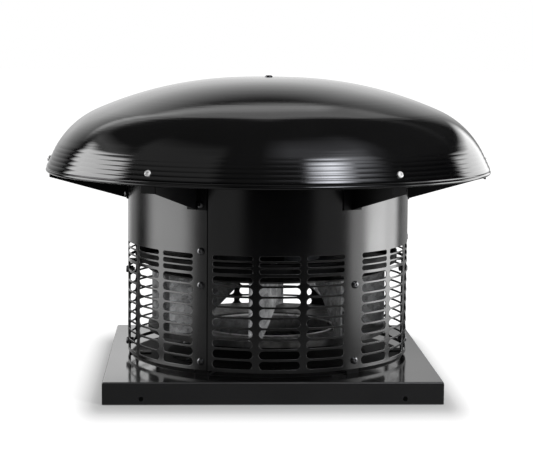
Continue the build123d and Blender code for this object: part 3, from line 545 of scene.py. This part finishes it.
class Sheet:
    """Collects points, normals and faces of a rolled panel."""

    def __init__(self):
        self.points, self.normals, self.faces = [], [], []

    def row(self, entries):
        first = len(self.points)
        for angle, z, depth, along, up, out in entries:
            self.points.append(bend_point(angle, z, depth))
            self.normals.append(bend_normal(angle, along, up, out))
        return first

    def join(self, a, b, count, closed):
        self.faces += ring_faces(a, b, count, closed)

    def plate(self, a0, a1, z0, z1, depth, out):
        """Plain stretch of one face of the sheet."""
        count = int(abs(a1 - a0) / PLATE_STEP) + 2
        low = self.row([(a, z0, depth, 0, 0, out) for a in np.linspace(a0, a1, count)])
        high = self.row([(a, z1, depth, 0, 0, out) for a in np.linspace(a0, a1, count)])
        if out > 0:
            self.join(low, high, count, False)
        else:
            self.join(high, low, count, False)

    def edge_level(self, a0, a1, z, up, d0, d1):
        """Rounded upper or lower edge between two depths."""
        count = int(abs(a1 - a0) / PLATE_STEP) + 2
        mid, half = (d0 + d1) / 2, (d1 - d0) / 2
        rows = []
        for t in np.linspace(90, -90, 7):
            c, s = math.cos(math.radians(t)), math.sin(math.radians(t))
            height, depth = z + up * (c - 1) * LIP, mid - half * s
            rows.append(self.row([(a, height, depth, 0, up * c, s) for a in np.linspace(a0, a1, count)]))
        for first, second in zip(rows, rows[1:]):
            if up < 0:
                self.join(second, first, count, False)
            else:
                self.join(first, second, count, False)

    def edge_upright(self, a, z0, z1, along, d0, d1):
        """Cut edge of the sheet at one azimuth."""
        rows = []
        for depth in (d0, d1):
            rows.append(self.row([(a, z0, depth, along, 0, 0), (a, z1, depth, along, 0, 0)]))
        if along > 0:
            self.join(rows[0], rows[1], 2, False)
        else:
            self.join(rows[1], rows[0], 2, False)

    def slot(self, centre, width, length, z0, z1, z, height):
        """One slot with its surrounding cell on both faces."""
        r = height / 2
        scale = 180.0 / (math.pi * GUARD_R)
        straight = length / 2 - r
        half = width / scale / 2
        caps = 9
        runs = 7
        loop = []
        for side, first in ((1, -90.0), (-1, 90.0)):
            for t in np.linspace(first, first + 180.0, caps):
                c, s = math.cos(math.radians(t)), math.sin(math.radians(t))
                loop.append((side * straight, c, s))
            for x in np.linspace(side * straight, -side * straight, runs)[1:-1]:
                loop.append((x, 0.0, float(side)))
        count = len(loop)
        top, low = z1 - z, z0 - z
        border = []
        for x, c, s in loop:
            if abs(c) < TINY:
                border.append((x, top if s > 0 else low))
                continue
            reach = ((half if c > 0 else -half) - x) / c
            climb = (top if s > 0 else low) / s if abs(s) > TINY else FAR
            k = min(reach, climb)
            border.append((x + k * c, k * s))
        for sign in (1, -1):
            for target in (top, low):
                corner = (sign * half, target)
                best = min(
                    (i for i, (x, c, s) in enumerate(loop) if c * sign > TINY and s * target > 0),
                    key=lambda i: math.hypot(border[i][0] - corner[0], border[i][1] - corner[1]),
                )
                border[best] = corner

        def border_row(depth, out):
            return self.row([(centre + bx * scale, z + bz, depth, 0, 0, out) for bx, bz in border])

        def lip_row(turn, out):
            tilt, face = math.sin(math.radians(turn)), math.cos(math.radians(turn))
            wide = r + LIP * (1 - tilt)
            under = LIP * (1 - face)
            depth = under if out > 0 else GUARD_SHEET - under
            return self.row(
                [
                    (centre + (x + wide * c) * scale, z + wide * s, depth, -c * tilt, -s * tilt, out * face)
                    for x, c, s in loop
                ]
            )

        rings = [border_row(0.0, 1)]
        rings += [lip_row(turn, 1) for turn in (0, 30, 60, 90)]
        rings += [lip_row(turn, -1) for turn in (90, 45, 0)]
        rings.append(border_row(GUARD_SHEET, -1))
        for first, second in zip(rings, rings[1:]):
            self.join(first, second, count, True)


def build_panel(n):
    """One guard panel with its slots, its lapped end and its edges."""
    sheet = Sheet()
    start = COLUMNS[2 * n]
    begin = start + LAP_OVER + SEAM
    end = start + 2 * BAY + LAP_OVER
    bounds_z = [GUARD_Z + LIP] + [
        (SLOTS[i][0] + SLOTS[i][1] / 2 + SLOTS[i + 1][0] - SLOTS[i + 1][1] / 2) / 2
        for i in range(len(SLOTS) - 1)
    ]
    bounds_z.append(SLOTS[-1][0] + SLOTS[-1][1] / 2 + SLOT_MARGIN)
    slot_zone = bounds_z[-1]
    marks = [begin]
    for bay, (step, length) in enumerate(BAYS):
        middle = start + SPREAD + BAY * (bay + 0.5)
        for c in (-1, 0, 1):
            centre = middle + step * c
            for i, (z, height) in enumerate(SLOTS):
                sheet.slot(centre, step, length, bounds_z[i], bounds_z[i + 1], z, height)
        marks += [middle - 1.5 * step, middle + 1.5 * step]
    marks.append(end)
    for a0, a1 in zip(marks[0::2], marks[1::2]):
        sheet.plate(a0, a1, GUARD_Z + LIP, slot_zone, 0.0, 1)
        sheet.plate(a0, a1, GUARD_Z + LIP, slot_zone, GUARD_SHEET, -1)
    sheet.plate(begin, end, slot_zone, GUARD_TOP - LIP, 0.0, 1)
    sheet.plate(begin, end, slot_zone, GUARD_TOP - LIP, GUARD_SHEET, -1)
    sheet.edge_level(begin, end, GUARD_Z, -1, 0.0, GUARD_SHEET)
    sheet.edge_level(begin, end, GUARD_TOP, 1, 0.0, GUARD_SHEET)
    sheet.edge_upright(end, GUARD_Z, GUARD_TOP, 1, 0.0, GUARD_SHEET)
    inner = GUARD_SHEET + LAP_GAP
    deep = inner + GUARD_SHEET
    sheet.edge_upright(begin, GUARD_Z, GUARD_TOP, -1, 0.0, inner)
    sheet.plate(start - LAP_OVER, begin, GUARD_Z, GUARD_TOP, inner, 1)
    sheet.plate(start - LAP_OVER, begin + JOGGLE, GUARD_Z, GUARD_TOP, deep, -1)
    sheet.edge_upright(begin + JOGGLE, GUARD_Z, GUARD_TOP, 1, GUARD_SHEET, deep)
    sheet.edge_upright(start - LAP_OVER, GUARD_Z, GUARD_TOP, -1, inner, deep)
    sheet.edge_level(start - LAP_OVER, begin + JOGGLE, GUARD_Z, -1, inner, deep)
    sheet.edge_level(start - LAP_OVER, begin + JOGGLE, GUARD_TOP, 1, inner, deep)
    name = "guard_panel_%d" % (n + 1)
    add_mesh(name + "_skin", sheet.points, sheet.faces, "guard_paint", [name], normals=sheet.normals)


for n in range(PANELS):
    build_panel(n)


# Screw heads with hexagon sockets, drawn finer than the solids

SIDE_SHARE, FLAT_SHARE, HEXAGON_SHARE, FLOOR_SHARE = 0.35, 0.22, 0.36, 0.45
HEAD_CHAMFER, SOCKET_CHAMFER, NECK = 0.2, 0.12, 0.02
SCREW_SEGMENTS = 36
SCREW_SHARP = 35


def screw_shape(head, height, size, length):
    """Button-head screw along +Z, its head standing on z = 0."""
    r = head / 2
    side = SIDE_SHARE * height
    outline = [(size / 2, -length), (size / 2, -NECK), (r - HEAD_CHAMFER, 0.0), (r, HEAD_CHAMFER), (r, side)]
    flat = FLAT_SHARE * head
    for t in np.linspace(0, 1, 9)[1:]:
        a = t * math.pi / 2
        outline.append((flat + (r - flat) * math.cos(a), side + (height - side) * math.sin(a)))
    count = SCREW_SEGMENTS
    angles, points = around_axis(outline, count)
    faces = []
    for row in range(len(outline) - 1):
        faces += ring_faces(row * count, (row + 1) * count, count)
    hexagon = HEXAGON_SHARE * size
    hex_rows = []
    for z, inset in (
        (height, SOCKET_CHAMFER),
        (height - SOCKET_CHAMFER, 0.0),
        (FLOOR_SHARE * height, 0.0),
    ):
        hex_rows.append(len(points))
        for a in angles:
            w = (a + math.pi / 6) % (math.pi / 3) - math.pi / 6
            q = hexagon * math.cos(math.pi / 6) / math.cos(w) + inset
            points.append((q * math.cos(a), q * math.sin(a), z))
    faces += ring_faces((len(outline) - 1) * count, hex_rows[0], count)
    faces += ring_faces(hex_rows[0], hex_rows[1], count)
    faces += ring_faces(hex_rows[1], hex_rows[2], count)
    faces.append(tuple(hex_rows[2] + i for i in range(count)))
    faces.append(tuple(reversed(range(count))))
    return np.array(points), faces


def place_screws(name, shape, matrices, slot, replaced):
    """All screws of one kind as one piece."""
    points, faces = shape
    all_points, all_faces = [], []
    for matrix in matrices:
        m = np.array(matrix)
        base = len(all_points)
        all_points += list(points @ m[:3, :3].T + m[:3, 3])
        all_faces += [tuple(base + i for i in face) for face in faces]
    add_mesh(name, all_points, all_faces, slot, replaced, sharp=SCREW_SHARP)


def radial_matrix(azimuth, radius, z, roll, tilt=90.0):
    """Frame at an azimuth, its Z pointing outwards."""
    return (
        Matrix.Rotation(math.radians(azimuth - 90.0), 4, "Z")
        @ Matrix.Translation((radius, 0, z))
        @ Matrix.Rotation(math.radians(tilt), 4, "Y")
        @ Matrix.Rotation(math.radians(roll), 4, "Z")
    )


# How far each screw was turned when it was tightened, in degrees
ROLLS = [17, 43, 8, 31, 52, 25, 3, 38, 11, 47, 29, 55, 20, 5, 35]
M5 = screw_shape(head=9.6, height=2.8, size=5.0, length=9.5)
M4 = screw_shape(head=8.4, height=2.5, size=4.0, length=8.5)
TOP_HEAD = 3.3
M6 = screw_shape(head=11.0, height=TOP_HEAD, size=6.0, length=16.0)

COLUMN_SCREWS = [GUARD_Z + 11.5, GUARD_Z + 110.9]
SEAM_SCREW = GUARD_Z + 155.0
HEAD_GAP = 0.05
guard_places = []
for k, azimuth in enumerate(COLUMNS):
    seam = [SEAM_SCREW] if k % 2 == 0 else []
    for z in COLUMN_SCREWS + seam:
        guard_places.append(radial_matrix(azimuth, GUARD_R + HEAD_GAP, z, ROLLS[len(guard_places)]))
place_screws("guard_screw_set", M5, guard_places, "black_screws", ["guard_screws"])

BRACKET_Z = RIM_Z - 40.2
BRACKET_SCREWS = (7.0, 42.0)
BRACKET_FACE = GUARD_R + 2.1
bracket_places = [
    radial_matrix(azimuth, BRACKET_FACE, BRACKET_Z + rise, ROLLS[k + j])
    for k, azimuth in enumerate(COLUMNS)
    for j, rise in enumerate(BRACKET_SCREWS)
]
place_screws("bracket_screw_set", M5, bracket_places, "black_screws", ["bracket_screws"])

TAB_OFFSET, TAB_GAP = 17.0, 0.3
TAB_R = skirt_radius(SKIRT_END) + BEAD_PROUD - 2 * BEAD - TAB_GAP
TAB_TURN = -math.degrees(math.asin(TAB_OFFSET / TAB_R))
RIM_SCREW_Z = RIM_Z + 13.0
RIM_SCREW_PROUD = 0.42
rim_places = []
for k, azimuth in enumerate(COLUMNS):
    seat = radial_matrix(azimuth + TAB_TURN, skirt_radius(RIM_SCREW_Z), RIM_SCREW_Z, ROLLS[k], SKIRT_TILT)
    rim_places.append(seat @ Matrix.Translation((0, 0, RIM_SCREW_PROUD)))
place_screws("rim_screw_set", M4, rim_places, "bright_screws", ["cowl_rim_screws"])

top_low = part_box("cowl_top_screw")[1].z / MM - TOP_HEAD
place_screws("top_screw", M6, [Matrix.Translation((0, 0, top_low))], "black_screws", ["cowl_top_screw"])


# Camera fitted to the photograph, lengths in metres

PITCH, YAW, ROLL = math.radians(6.638), math.radians(2.376), math.radians(-0.427)
DISTANCE = 2.3653
AIM_SIDE, AIM_Z = 0.001585, 0.19237
PHOTO_WIDTH, FOCAL = 533.0, 1711.0
SENSOR = 36.0
aim = Vector((-AIM_SIDE * math.cos(YAW), AIM_SIDE * math.sin(YAW), AIM_Z))
right = Vector((math.cos(YAW), -math.sin(YAW), 0))
away = Vector((math.sin(YAW), math.cos(YAW), 0))
up = Vector((0, 0, 1))
forward = away * math.cos(PITCH) - up * math.sin(PITCH)
lift = away * math.sin(PITCH) + up * math.cos(PITCH)
cam_x = right * math.cos(ROLL) - lift * math.sin(ROLL)
cam_y = right * math.sin(ROLL) + lift * math.cos(ROLL)
camera = bpy.data.cameras.new("camera")
camera.sensor_fit = "HORIZONTAL"
camera.sensor_width = SENSOR
camera.lens = FOCAL / PHOTO_WIDTH * SENSOR
camera_obj = bpy.data.objects.new("camera", camera)
place = Matrix((cam_x, cam_y, -forward)).transposed().to_4x4()
place.translation = aim - forward * DISTANCE
camera_obj.matrix_world = place
scene.collection.objects.link(camera_obj)
scene.camera = camera_obj


# Studio: pale floor, white surroundings, soft lamps and a round room that only reflections see

WHITE, COOL = (1, 1, 1), (0.95, 0.97, 1.04)
SKY_LEVEL = 0.3
FLOOR_HALF = 20
FLOOR_GREY = (0.5, 0.5, 0.5)

# Painted shadow: the floor's white by distance from the base as a share of FADE_REACH in metres,
# and of a third of it in x
BASE_EDGE = 0.215
FADE_REACH = 0.25
SIDE_FADE = 3
FLOOR_FADE = (
    (0.0, 0.0), (0.005, 0.0), (0.02, 0.3), (0.12, 0.3), (0.24, 0.52), (0.4, 0.78), (0.55, 0.91), (0.75, 0.96),
    (1.0, 0.96),
)


def stage_mesh(name, points, faces, material):
    """Object of the studio, which isn't part of the fan."""
    mesh = bpy.data.meshes.new(name)
    mesh.from_pydata(points, [], faces)
    mesh.materials.append(material)
    obj = bpy.data.objects.new(name, mesh)
    scene.collection.objects.link(obj)
    return obj


def seen_rays(tree):
    """1 for rays that show the white surroundings: camera, mirror and glass rays."""
    path = tree.nodes.new("ShaderNodeLightPath")
    first = tree.nodes.new("ShaderNodeMath")
    first.operation = "MAXIMUM"
    tree.links.new(path.outputs["Is Camera Ray"], first.inputs[0])
    tree.links.new(path.outputs["Is Glossy Ray"], first.inputs[1])
    second = tree.nodes.new("ShaderNodeMath")
    second.operation = "MAXIMUM"
    tree.links.new(first.outputs[0], second.inputs[0])
    tree.links.new(path.outputs["Is Transmission Ray"], second.inputs[1])
    return second.outputs[0]


def floor_material():
    """Matt pale floor, seen white, whose white fades out towards the base in a painted soft shadow."""
    g = Graph("floor")
    g.tree.nodes.remove(g.shader)
    away = g.coords
    for operation, value in (
        ("ABSOLUTE", (0, 0, 0)),
        ("SUBTRACT", (BASE_EDGE, BASE_EDGE, 1)),
        ("MAXIMUM", (0, 0, 0)),
        ("MULTIPLY", (SIDE_FADE, 1, 1)),
    ):
        step = g.add("ShaderNodeVectorMath", operation=operation)
        g.feed(step.inputs[0], away)
        g.feed(step.inputs[1], value)
        away = step.outputs[0]
    length = g.add("ShaderNodeVectorMath", operation="LENGTH")
    g.feed(length.inputs[0], away)
    # The fade paints the soft shadow around the base.
    fade = g.add("ShaderNodeValToRGB")
    g.feed(fade.inputs["Fac"], g.math("DIVIDE", length.outputs["Value"], FADE_REACH))
    ramp = fade.color_ramp
    ramp.interpolation = "B_SPLINE"
    for place, level in FLOOR_FADE:
        if place == 0.0:
            stop = ramp.elements[0]
        elif place == 1.0:
            stop = ramp.elements[-1]
        else:
            stop = ramp.elements.new(place)
        stop.color = colour(level, level, level)
    matt = g.add("ShaderNodeBsdfDiffuse")
    matt.inputs["Color"].default_value = colour(*FLOOR_GREY)
    white = g.add("ShaderNodeEmission")
    g.feed(white.inputs["Strength"], g.math("MULTIPLY", seen_rays(g.tree), fade.outputs["Color"]))
    both = g.add("ShaderNodeAddShader")
    g.feed(both.inputs[0], matt.outputs[0])
    g.feed(both.inputs[1], white.outputs[0])
    g.feed(g.tree.nodes["Material Output"].inputs["Surface"], both.outputs[0])
    return g.material


floor_corners = [(x * FLOOR_HALF, y * FLOOR_HALF, 0) for x, y in ((-1, -1), (1, -1), (1, 1), (-1, 1))]
stage_mesh("floor", floor_corners, [(0, 1, 2, 3)], floor_material())

# Windows of the room as the gloss shows them: side, azimuths and heights as start, end and softness in
# degrees, level and tint. An arch is a window whose height falls off to both sides.
LIGHTS = [
    ("front", (-200, 200, 1), (32, 95, 6), 0.03, WHITE),
    ("front", (-103, -60, 6), (-12, 8, 5), 1.55, WHITE),
    ("front", (-109, -71, 3), (9, 35, 2), 2.5, WHITE),
    ("front", (-114, -78, 6), (36, 42, 3), 0.224, WHITE),
    ("front", (-60, -20, 4), (-12, 16, 6), 0.102, WHITE),
    ("front", (-75, -26, 3), (31, 55, 5), 0.0832, WHITE),
    ("front", (31, 61, 4), (-12, 16, 6), 0.096, WHITE),
    ("front", (60, 77, 3), (-12, 8, 5), 1.02, WHITE),
    ("front", (76, 97, 3), (-12, 8, 5), 3.4, WHITE),
    ("front", (97, 116, 3), (-12, 8, 5), 2.5, WHITE),
    ("front", (99, 138, 3), (8, 27, 3), 2.3, WHITE),
    ("front", (21, 31, 7), (31, 42, 5), 6.4, COOL),
    ("front", (15, 31, 3), (32, 41, 4), 1.0, COOL),
    ("front", (30, 47, 10), (32, 42, 4), 0.45, COOL),
    ("front", (24, 46, 9), (40, 48, 5), 1.3, COOL),
    ("front", (2, 58, 8), (46, 62, 7), 0.192, COOL),
    ("back", (-38, -8, 5), (-12, 8, 4), 0.96, WHITE),
    ("back", (-56, -38, 4), (-12, 8, 4), 0.44, WHITE),
    ("back", (6, 38, 5), (-12, 8, 4), 0.44, WHITE),
    ("back", (38, 54, 4), (-12, 8, 4), 0.4, WHITE),
    ("back", (-52, 36, 14), (10, 46, 12), 1.0, WHITE),
    ("arch", (-58, 27, 3), (62, 68, 1.2), 0.413, WHITE),
    ("arch", (-60, 46, 4), (62, 76, 1.2), 0.375, WHITE),
    ("arch", (-60, 50, 25), (74, 79, 4), 0.2, WHITE),
]
ROOM_R, ROOM_Z = 0.85, 0.15
GROUND_IN, GROUND_OUT, GROUND_Z = 0.19, 0.8, 0.001
GROUND_LEVEL = 0.08
GROUND_HEIGHTS = (-12, -9)
WALL_FOOT, WALL_TOP = -0.17, math.pi / 2 - 0.01
ROOM_SEGMENTS = 72
ARCH_BEND = 0.0078


def room_material():
    """Dark room with soft windows."""
    g = Graph("room")
    g.tree.nodes.remove(g.shader)
    shift = g.add("ShaderNodeVectorMath", operation="SUBTRACT")
    g.feed(shift.inputs[0], g.coords)
    shift.inputs[1].default_value = (0, 0, ROOM_Z)
    unit = g.add("ShaderNodeVectorMath", operation="NORMALIZE")
    g.feed(unit.inputs[0], shift.outputs[0])
    xyz = g.add("ShaderNodeSeparateXYZ")
    g.feed(xyz.inputs[0], unit.outputs[0])
    x, y, z = xyz.outputs
    degrees = 180.0 / math.pi
    height = g.math("MULTIPLY", g.math("ARCSINE", z), degrees)
    front = g.math("MULTIPLY", g.math("ARCTAN2", x, g.math("MULTIPLY", y, -1.0)), degrees)
    back = g.math("MULTIPLY", g.math("ARCTAN2", x, y), degrees)
    arch = g.math("ADD", height, g.math("MULTIPLY", g.math("MULTIPLY", back, back), ARCH_BEND))
    around = {"front": (front, height), "back": (back, height), "arch": (back, arch)}

    def window(value, low, high, soft):
        rise = g.span(value, low - soft, low + soft)
        fall = g.span(value, high - soft, high + soft, 1.0, 0.0)
        return g.math("MULTIPLY", rise, fall)

    low = g.add("ShaderNodeEmission")
    g.feed(low.inputs["Strength"], g.span(height, *GROUND_HEIGHTS, GROUND_LEVEL, 0.0))
    total = low.outputs[0]
    for side, azimuths, heights, level, tint in LIGHTS:
        mask = g.math("MULTIPLY", window(around[side][0], *azimuths), window(around[side][1], *heights))
        emit = g.add("ShaderNodeEmission")
        emit.inputs["Color"].default_value = colour(*tint)
        g.feed(emit.inputs["Strength"], g.math("MULTIPLY", mask, level))
        both = g.add("ShaderNodeAddShader")
        g.feed(both.inputs[0], total)
        g.feed(both.inputs[1], emit.outputs[0])
        total = both.outputs[0]
    g.feed(g.tree.nodes["Material Output"].inputs["Surface"], total)
    return g.material


def room():
    """Round studio wall and grey ground that only reflections see."""
    outline = [(r, GROUND_Z) for r in np.linspace(GROUND_IN, GROUND_OUT, 10)]
    outline += [
        (ROOM_R * math.cos(t), ROOM_Z + ROOM_R * math.sin(t)) for t in np.linspace(WALL_FOOT, WALL_TOP, 30)
    ]
    count = ROOM_SEGMENTS
    points = around_axis(outline, count)[1]
    faces = []
    for row in range(len(outline) - 1):
        faces += ring_faces((row + 1) * count, row * count, count)
    faces.append(tuple(range((len(outline) - 1) * count, len(outline) * count)))
    obj = stage_mesh("room", points, faces, room_material())
    obj.visible_camera = False
    obj.visible_diffuse = False
    obj.visible_shadow = False
    obj.visible_transmission = False


room()


def lamp(name, place, target, side, power):
    """Soft square lamp that reflections don't see."""
    light = bpy.data.lights.new(name, "AREA")
    light.shape = "SQUARE"
    light.size = side
    light.energy = power
    obj = bpy.data.objects.new(name, light)
    obj.location = place
    obj.rotation_euler = (Vector(target) - Vector(place)).to_track_quat("-Z", "Y").to_euler()
    obj.visible_glossy = False
    scene.collection.objects.link(obj)


lamp("key", place=(1.4, -1.2, 2.8), target=(0, 0, 0.2), side=1.6, power=5.0)
lamp("fill", place=(-2.0, -1.0, 2.2), target=(0, 0, 0.2), side=1.6, power=4.0)
lamp("front", place=(1.7, -1.9, 0.35), target=(0, 0, 0.13), side=0.8, power=65.0)

world = bpy.data.worlds.new("surroundings")
scene.world = world
world.use_nodes = True
tree = world.node_tree
tree.nodes.clear()
white = tree.nodes.new("ShaderNodeBackground")
white.inputs["Color"].default_value = colour(*WHITE)
white.inputs["Strength"].default_value = 1.0
soft = tree.nodes.new("ShaderNodeBackground")
soft.inputs["Color"].default_value = colour(*WHITE)
soft.inputs["Strength"].default_value = SKY_LEVEL
blend = tree.nodes.new("ShaderNodeMixShader")
tree.links.new(seen_rays(tree), blend.inputs[0])
tree.links.new(soft.outputs[0], blend.inputs[1])
tree.links.new(white.outputs[0], blend.inputs[2])
out = tree.nodes.new("ShaderNodeOutputWorld")
tree.links.new(blend.outputs[0], out.inputs["Surface"])

scene.view_settings.view_transform = "Standard"
